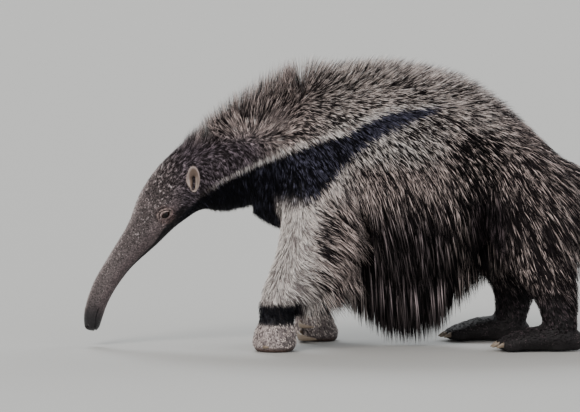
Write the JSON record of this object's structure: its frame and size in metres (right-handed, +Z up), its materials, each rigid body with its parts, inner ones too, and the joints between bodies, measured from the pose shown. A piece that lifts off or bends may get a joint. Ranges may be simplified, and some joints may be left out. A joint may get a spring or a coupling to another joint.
{
  "type": "giant anteater",
  "caption": "Life-size still model of a walking anteater, nose held low, with long brindled hair, a crest along the back and a long plumed tail.",
  "frame": {"origin": "middle of the base of the bounding box, on the floor", "axes": "-X is the way the animal faces, its left side is -Y, +Z is up"},
  "size_m": [1.8178, 0.3338, 0.5617],
  "materials": {
    "body_coat": "coarse brindled hair, dark brown and cream",
    "tail_coat": "long coarse dark brown hair",
    "pale_coat": "short pale grey and cream hair",
    "face": "hide under very short grey-brown hair",
    "ear": "thin downy skin with a cream rim",
    "eye": "wet, almost black",
    "claw": "worn horn, satin",
    "foot_skin": "bare wrinkled pad and very short hair"
  },
  "bodies": {
    "root": {"ear_left": "ear", "ear_right": "ear", "eye_left": "eye", "eye_right": "eye", "foreclaw_left_inner": "claw", "foreclaw_left_outer": "claw", "foreclaw_left_second": "claw", "foreclaw_left_third": "claw", "foreclaw_right_inner": "claw", "foreclaw_right_outer": "claw", "foreclaw_right_second": "claw", "foreclaw_right_third": "claw", "forefoot_left": "foot_skin", "forefoot_right": "foot_skin", "foreleg_left": "pale_coat", "foreleg_right": "pale_coat", "head": "face", "hindclaw_left_1": "claw", "hindclaw_left_2": "claw", "hindclaw_left_3": "claw", "hindclaw_left_4": "claw", "hindclaw_left_5": "claw", "hindclaw_right_1": "claw", "hindclaw_right_2": "claw", "hindclaw_right_3": "claw", "hindclaw_right_4": "claw", "hindclaw_right_5": "claw", "hindfoot_left": "foot_skin", "hindfoot_right": "foot_skin", "hindleg_left": "body_coat", "hindleg_right": "body_coat", "neck": "body_coat", "tail_end": "tail_coat", "tail_middle": "tail_coat", "tail_root": "tail_coat", "torso": "body_coat"}
  },
  "joints": []
}
